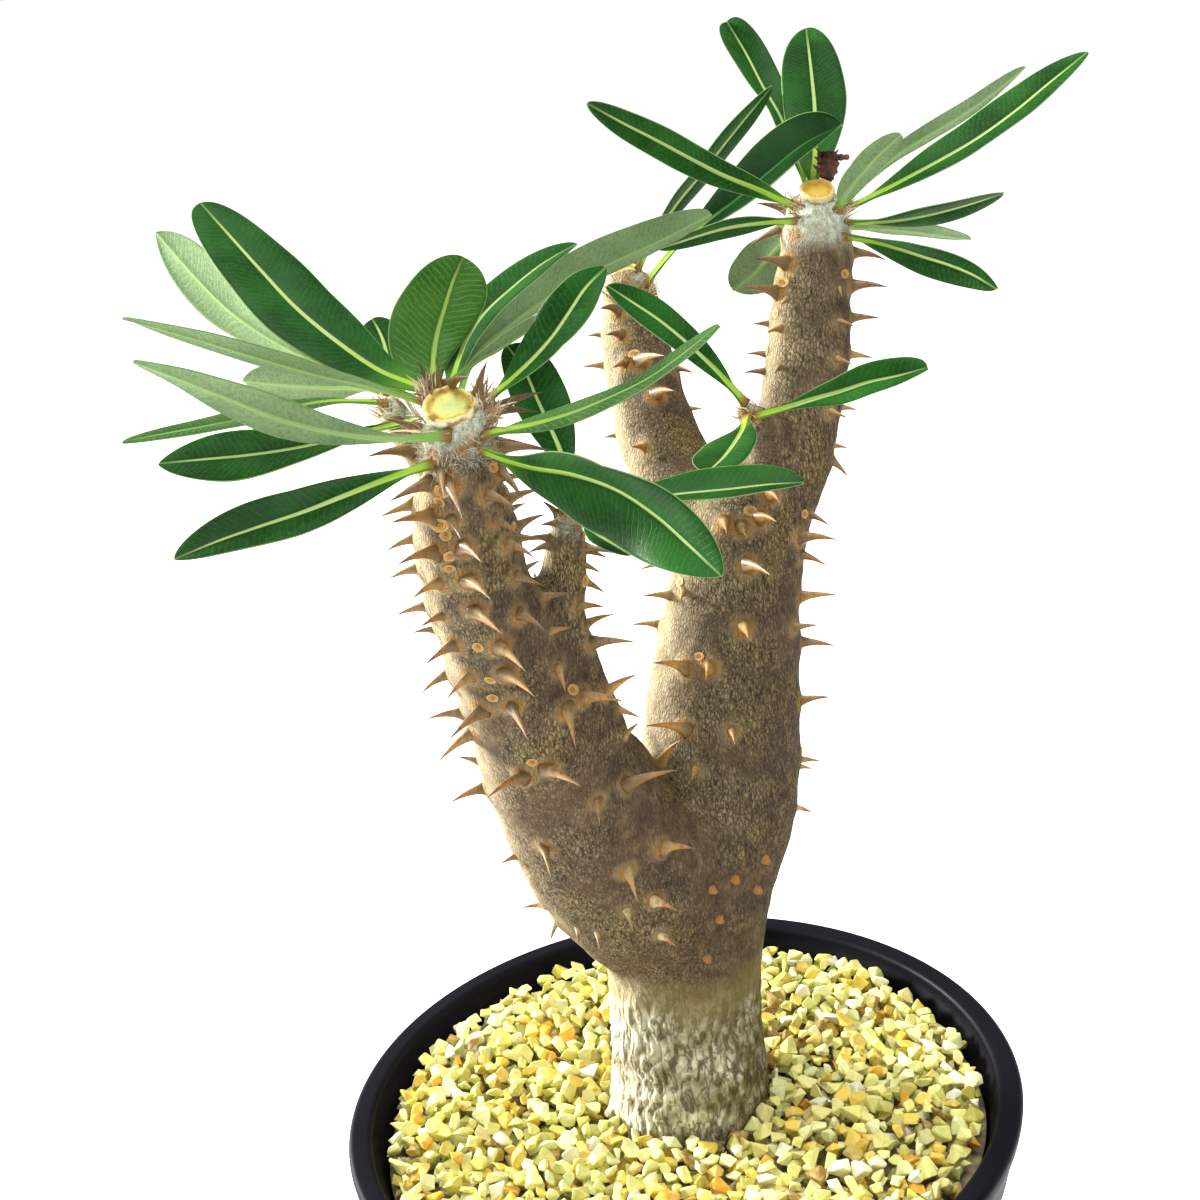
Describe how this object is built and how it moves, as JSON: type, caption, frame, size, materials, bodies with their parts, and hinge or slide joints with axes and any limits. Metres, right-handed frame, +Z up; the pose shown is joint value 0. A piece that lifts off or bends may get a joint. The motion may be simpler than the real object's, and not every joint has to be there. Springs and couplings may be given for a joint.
{
  "type": "potted pachypodium densiflorum",
  "caption": "Spiny branched succulent stem with rosettes of oblong leaves, growing in a round tapered plain pot topped with crushed gravel.",
  "frame": {"origin": "centre of the flat underside of the pot", "axes": "+Z up along the pot axis, +X to the right in the front view, the front view looks along +Y"},
  "size_m": [0.2106, 0.1856, 0.3719],
  "materials": {
    "pot_plastic": "satin",
    "potting_mix": "rough",
    "gravel": "rough",
    "bark": "rough",
    "leaf": "satin",
    "dried_stalk": "matte"
  },
  "bodies": {
    "root": {"pot": "pot_plastic", "potting_mix": "potting_mix", "top_gravel": "gravel", "stem": "bark", "leaf_a1": "leaf", "leaf_a2": "leaf", "leaf_a3": "leaf", "leaf_a4": "leaf", "leaf_a5": "leaf", "leaf_a6": "leaf", "leaf_a7": "leaf", "leaf_a8": "leaf", "leaf_a9": "leaf", "leaf_a10": "leaf", "leaf_a11": "leaf", "leaf_a12": "leaf", "leaf_a13": "leaf", "leaf_b1": "leaf", "leaf_b2": "leaf", "leaf_b3": "leaf", "leaf_c1": "leaf", "leaf_c2": "leaf", "leaf_c3": "leaf", "leaf_d1": "leaf", "leaf_d2": "leaf", "leaf_e1": "leaf", "leaf_e2": "leaf", "leaf_e3": "leaf", "leaf_e4": "leaf", "leaf_e5": "leaf", "leaf_e6": "leaf", "leaf_e7": "leaf", "leaf_e8": "leaf", "leaf_e9": "leaf", "leaf_e10": "leaf", "leaf_e11": "leaf", "leaf_f1": "leaf", "leaf_f2": "leaf", "leaf_f3": "leaf", "leaf_d3": "leaf", "dried_flower_stub": "dried_stalk"}
  },
  "joints": []
}
